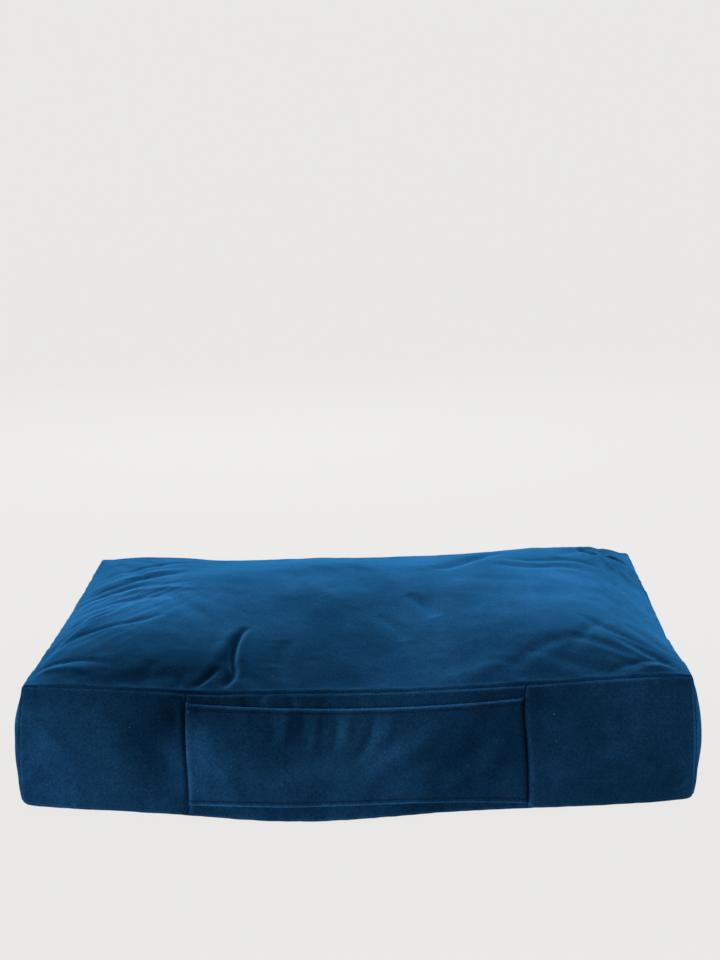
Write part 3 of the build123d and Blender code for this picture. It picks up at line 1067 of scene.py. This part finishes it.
def painted_light_and_stroked_pile(place):
    """A factor around 1 that changes softly over the cover: painted light and shade, partly from stroked
    pile.
    """
    total = 1.0
    for centre, reach, change in PAINTED_LIGHT_AND_STROKED_PILE:
        distance = math_node("DISTANCE", place, np.array(centre) * MM, "VectorMath")
        spot = add_node(place.id_data, "MapRange", interpolation_type="SMOOTHERSTEP", Value=distance)
        set_up(spot, From_Min=0.0, From_Max=1.5 * reach * MM, To_Min=change, To_Max=0.0)
        total = math_node("ADD", spot.outputs["Result"], total)
    return total


def velvet():
    """Short dense pile: dark where it faces you, with a blue sheen at the edges, brushed unevenly. Its
    colour also carries painted highlights and painted shade in spots and along seams, hems and folds.
    """
    sheen = {"Sheen_Weight": 0.75, "Sheen_Roughness": 0.34, "Sheen_Tint": (0.03, 0.27, 0.64, 1)}
    material, shader = new_material("velvet", Roughness=0.95, Specular_IOR_Level=0.0, **sheen)
    place = object_place(shader)
    brushed = noise_node(object_place(shader, (1, 1.3, 0.7)), 7, 3, 0.5)
    patches = noise_node(place, 38, 4, 0.6)
    grain = noise_node(place, 330, 4, 0.7)
    deep, mid, bright = (0.003, 0.019, 0.05), (0.0058, 0.036, 0.092), (0.01, 0.058, 0.144)
    colour = ramp(brushed, (0.3, deep), (0.5, mid), (0.7, bright))
    colour = mixed(0.3, colour, ramp(patches, (0.3, deep), (0.5, mid), (0.72, bright)))
    colour = times(colour, shades(grain, (0.5, 0.5, 0.53), (1.65, 1.62, 1.55)), 0.75)
    # Painted light and shade in spots over the cover, partly stroked pile.
    colour = times(colour, painted_light_and_stroked_pile(place))
    lint = ramp(noise_node(place, 430, 0, 0.5), (0.915, 0.0), (0.925, 1.0))
    colour = mixed(lint, colour, (0.2, 0.28, 0.36, 1))
    painted_light_and_pressed_pile = add_node(place.id_data, "Attribute", attribute_name="painted_light_and_pressed_pile").outputs["Fac"]
    # The pieces' attribute paints light: a painted highlight where it is above zero, and painted shade where
    # it is below zero.
    painted_highlight = times(colour, (3.2, 2.8, 2.6, 1))
    painted_shade = times(colour, (0.2, 0.2, 0.25, 1))
    colour = mixed(painted_light_and_pressed_pile, colour, painted_highlight)
    colour = mixed(math_node("MULTIPLY", painted_light_and_pressed_pile, -1.0), colour, painted_shade)
    set_up(shader, Base_Color=colour)
    bump(shader, patches, 0.35, 1.6 * MM)
    bump(shader, grain, 0.5, 0.6 * MM)
    bump(shader, noise_node(place, 900, 2, 0.6), 0.4, 0.25 * MM)
    return material


def plain_stage():
    """A pale studio floor, lit so evenly that it hardly shades."""
    glow = {"Emission_Color": (0.814, 0.807, 0.791, 1), "Emission_Strength": 0.985}
    dull = {"Base_Color": (0.02, 0.02, 0.02, 1), "Roughness": 1.0, "Specular_IOR_Level": 0.0}
    return new_material("stage", **dull, **glow)[0]


def woven(place, threads, directions):
    """The height of a weave with that many threads to the metre across each direction."""
    waves = []
    for direction in directions:
        made = add_node(place.id_data, "TexWave", Vector=place, bands_direction=direction, Distortion=0.4)
        set_up(made, Detail=1, Scale=threads * math.pi / 10, Detail_Scale=threads / 20)
        waves.append(made.outputs["Fac"])
    total = waves[0]
    for wave in waves[1:]:
        total = math_node("ADD", total, wave)
    return math_node("DIVIDE", total, len(directions))


def cloth_material(name, dark, light, threads, directions="XYZ", roughness=0.85, sheen=0.1):
    """A woven or twisted stuff in two close shades, soiled unevenly."""
    material, shader = new_material(name, Roughness=roughness, Sheen_Weight=sheen)
    place = object_place(shader)
    weave = woven(place, threads, directions)
    soiled = shades(noise_node(place, 30, 4, 0.6), (0.85, 0.85, 0.86), (1.08, 1.08, 1.06))
    set_up(shader, Base_Color=times(shades(weave, dark, light), soiled))
    bump(shader, noise_node(place, 1500, 2, 0.6), 0.3, 0.1 * MM)
    bump(shader, weave, 0.6, 0.2 * MM)
    return material


def foam_material():
    """Cream open-cell foam: small round cells, and yellowed patches."""
    material, shader = new_material("foam", Roughness=0.95)
    place = object_place(shader)
    cells = add_node(place.id_data, "TexVoronoi", Vector=place, Scale=650).outputs["Distance"]
    patches = noise_node(place, 12, 3, 0.5)
    colour = ramp(patches, (0.35, (0.62, 0.55, 0.36)), (0.7, (0.78, 0.72, 0.53)))
    pits = ramp(cells, (0.1, (0.6, 0.58, 0.5)), (0.5, 1.0))
    set_up(shader, Base_Color=times(colour, pits))
    bump(shader, cells, 0.8, 0.8 * MM)
    return material


def fibre_material():
    """White polyester fibre: tangled strands in loose clumps."""
    material, shader = new_material("fibre", Roughness=1.0, Sheen_Weight=0.3)
    clumps = noise_node(object_place(shader), 28, 5, 0.65)
    strands = noise_node(object_place(shader, (1, 6, 3)), 240, 4, 0.7)
    colour = shades(clumps, (0.66, 0.66, 0.65), (0.85, 0.85, 0.84))
    set_up(shader, Base_Color=times(colour, shades(strands, 0.85, 1.1)))
    bump(shader, clumps, 0.7, 6 * MM)
    bump(shader, strands, 0.7, 0.8 * MM)
    return material


def metal_material():
    """Nickel-plated zinc, brushed by use and dulled in patches."""
    material, shader = new_material("zip_metal", Metallic=1.0)
    dull = noise_node(object_place(shader), 260, 4, 0.6)
    colour = ramp(dull, (0.3, (0.42, 0.41, 0.39)), (0.65, (0.68, 0.67, 0.65)))
    set_up(shader, Base_Color=colour, Roughness=shades(dull, 0.46, 0.24))
    bump(shader, noise_node(object_place(shader, (1, 12, 14)), 420, 3, 0.7), 0.15, 0.05 * MM)
    return material


def nylon_material():
    """Dyed nylon, slightly glossy, with faint moulding marks."""
    material, shader = new_material("zip_coil", Specular_IOR_Level=0.25)
    marks = noise_node(object_place(shader), 700, 3, 0.6)
    colour = shades(marks, (0.004, 0.018, 0.046), (0.009, 0.034, 0.08))
    set_up(shader, Base_Color=colour, Roughness=shades(marks, 0.45, 0.6))
    bump(shader, marks, 0.2, 0.05 * MM)
    return material


def dress(node, material):
    """Gives a CAD node that stays its material."""
    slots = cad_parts[node].data.materials
    slots.clear()
    slots.append(material)


# ---- camera, lights and floor


def make_camera():
    """Stands in front, a little to the right, at the height of a person who crouches."""
    lens = bpy.data.cameras.new("camera")
    lens.sensor_fit = "VERTICAL"
    lens.sensor_height = 36
    lens.lens = 66.53
    camera = in_scene("camera", lens)
    pitch, yaw, roll = (math.radians(a) for a in (11.256, -1.246, -1.029))
    ahead = Vector((math.sin(yaw), math.cos(yaw), 0))
    forward = ahead * math.cos(pitch) - Vector((0, 0, math.sin(pitch)))
    level = Vector((math.cos(yaw), -math.sin(yaw), 0))
    upright = level.cross(forward)
    right = math.cos(roll) * level + math.sin(roll) * upright
    up = math.cos(roll) * upright - math.sin(roll) * level
    turn = Matrix((right, up, -forward)).transposed().to_4x4()
    camera.matrix_world = Matrix.Translation((0.060, MIDDLE_Y - 2.620, 0.904)) @ turn
    bpy.context.scene.camera = camera


def area_light(name, place, target, size, power):
    light = bpy.data.lights.new(name, "AREA")
    light.shape = "RECTANGLE"
    light.size, light.size_y = size
    light.energy = power
    lamp = in_scene(name, light)
    lamp.visible_camera = False
    lamp.location = place
    lamp.rotation_euler = (Vector(target) - Vector(place)).to_track_quat("-Z", "Y").to_euler()


def make_studio():
    """A round pale floor that curves up into a low wall on every side, and soft light."""
    flat, curve, height, turns, steps = 8.0, 1.5, 3.5, 64, 12
    bends = math.pi / 2 * np.arange(1, steps + 1) / steps
    profile = [(0.01, 0.0), (3.0, 0.0), (flat, 0.0)]
    profile += [(flat + curve * math.sin(a), curve - curve * math.cos(a)) for a in bends]
    profile.append((flat + curve, height))
    around = 2 * math.pi * np.arange(turns + 1) / turns
    points = np.array([[(r * math.cos(a), r * math.sin(a), z) for r, z in profile] for a in around])
    floor = grid_object("stage_floor", points, True, plain_stage())
    floor.visible_diffuse = False
    world = bpy.data.worlds.new("studio")
    world.use_nodes = True
    set_up(world.node_tree.nodes["Background"], Color=(0.95, 0.97, 1.0, 1), Strength=0.33)
    bpy.context.scene.world = world
    area_light("behind", (-0.5, 3.0, 2.0), (0, 0.1, 0.1), (2.6, 1.2), 175)
    area_light("side", (3.2, 0.2, 1.0), (0.3, 0.0, 0.1), (1.5, 1.5), 70)
    area_light("overhead", (0.0, 0.2, 2.6), (0, 0.0, 0.0), (1.2, 0.8), 14)
    area_light("front", (-2.2, -3.6, 0.8), (-0.1, 0.0, 0.1), (2.5, 1.2), 60)
    bpy.context.scene.view_settings.view_transform = "Standard"


# ---- making the bed


def hold_weights(points, grids):
    """Seams and the cloth round the zip are held; the rest lies softly on the filling."""
    hold = np.full(len(points), 0.02)
    for grid in grids.values():
        for edge in (grid[0], grid[-1], grid[:, 0], grid[:, -1]):
            hold[edge] = 1
    hold[grids["base"].ravel()] = 1
    hold[grids["back"][:, np.abs(HS - ZIP_Z) < 22 * MM].ravel()] = 1
    for column in np.flatnonzero(np.isclose(np.abs(XS), HANDLE_X)):
        hold[grids["front"][column]] = 1
    return hold


def settled_sides():
    """The six sides after the cloth has settled, each with its parameters, points and normals."""
    sides = smooth_cover()
    points, faces, grids = weld({name: surface for name, (us, vs, surface) in sides.items()})
    normals = normals_of(points, faces)
    hold = hold_weights(points, grids)
    loose = (hold < 1)[:, None]
    start = points + normals * blur_noise(points, 0.03, 1)[:, None] * MM * loose
    middle = points.mean(0)
    points = simulate(start, faces, middle + (points - middle) * CUT_LARGER, hold)
    normals = normals_of(points, faces)
    return {
        name: (us, vs, points[grids[name]], normals[grids[name]])
        for name, (us, vs, unused) in sides.items()
    }


def make_handle():
    face = handle_layer("velvet_handle_face", True)
    lining = handle_layer("velvet_handle_lining", False)
    pieces = {
        "handle_face": (face, "velvet"),
        "handle_lining": (lining, "velvet"),
        "handle_stitches_upper": (handle_stitches("thread_handle_upper", True), "thread"),
        "handle_stitches_lower": (handle_stitches("thread_handle_lower", False), "thread"),
    }
    for node, (piece, slot) in pieces.items():
        bow_with_handle(piece)
        stands_for(node)


make_camera()
make_studio()
VELVET_MATERIAL = velvet()
# The thread is darker than the velvet: partly painted shade of the grooves that the stitches lie in.
THREAD_MATERIAL = cloth_material("thread", (0.003, 0.014, 0.036), (0.007, 0.03, 0.075), 1800, "XZ")
TAPE_MATERIAL = cloth_material("zip_tape", (0.004, 0.02, 0.052), (0.009, 0.038, 0.095), 1100, "XZ")
LINER_MATERIAL = cloth_material("liner", (0.58, 0.57, 0.53), (0.76, 0.75, 0.71), 900)
LABEL_MATERIAL = cloth_material("label", (0.7, 0.7, 0.68), (0.86, 0.86, 0.84), 2200, "XZ", 0.45, 0.3)
COIL_MATERIAL = nylon_material()
METAL_MATERIAL = metal_material()
FOAM_MATERIAL = foam_material()
FIBRE_MATERIAL = fibre_material()
for node in ("zip_tape_upper", "zip_tape_lower"):
    dress(node, TAPE_MATERIAL)
for node in ("zip_slider", "zip_puller", "zip_top_stops", "zip_bottom_stop"):
    dress(node, METAL_MATERIAL)
SIDES = settled_sides()

DETAILS = {
    "top": top_detail,
    "front": front_detail,
    "left": side_detail,
    "right": side_detail,
    "back": back_detail,
}
# Each panel: its side, its reach in u and in v, the size of its squares in millimetres, and its hem
PANELS = {
    "cover_top_panel": ("top", (LEFT, RIGHT), (FRONT, BACK), 3.5),
    "cover_base_panel": ("base", (LEFT, RIGHT), (FRONT, BACK), 9),
    "front_wall_left": ("front", (LEFT, -HANDLE_X), (0, TOP), 3.5),
    "front_wall_centre": ("front", (-HANDLE_X, HANDLE_X), (0, TOP), 3.5),
    "front_wall_right": ("front", (HANDLE_X, RIGHT), (0, TOP), 3.5),
    "side_wall_left": ("left", (FRONT, BACK), (0, TOP), 4.5),
    "side_wall_right": ("right", (FRONT, BACK), (0, TOP), 4.5),
    "back_wall_upper": ("back", (LEFT, RIGHT), (ZIP_HIGH, TOP), 4.5, "low"),
    "back_wall_lower": ("back", (LEFT, RIGHT), (0, ZIP_LOW), 4.5, "high"),
    "zip_end_tab_left": ("back", (LEFT, -ZIP_END), (ZIP_LOW, ZIP_HIGH), 4, "both"),
    "zip_end_tab_right": ("back", (ZIP_END, RIGHT), (ZIP_LOW, ZIP_HIGH), 4, "both"),
}
for name, made_of in PANELS.items():
    piece = sewn_panel("velvet_" + name, *made_of)
    if name == "cover_top_panel":
        press_with_top(piece)
    else:
        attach(piece, "cover")
    stands_for(name)
make_handle()
make_zip()
make_pad()
care_label()
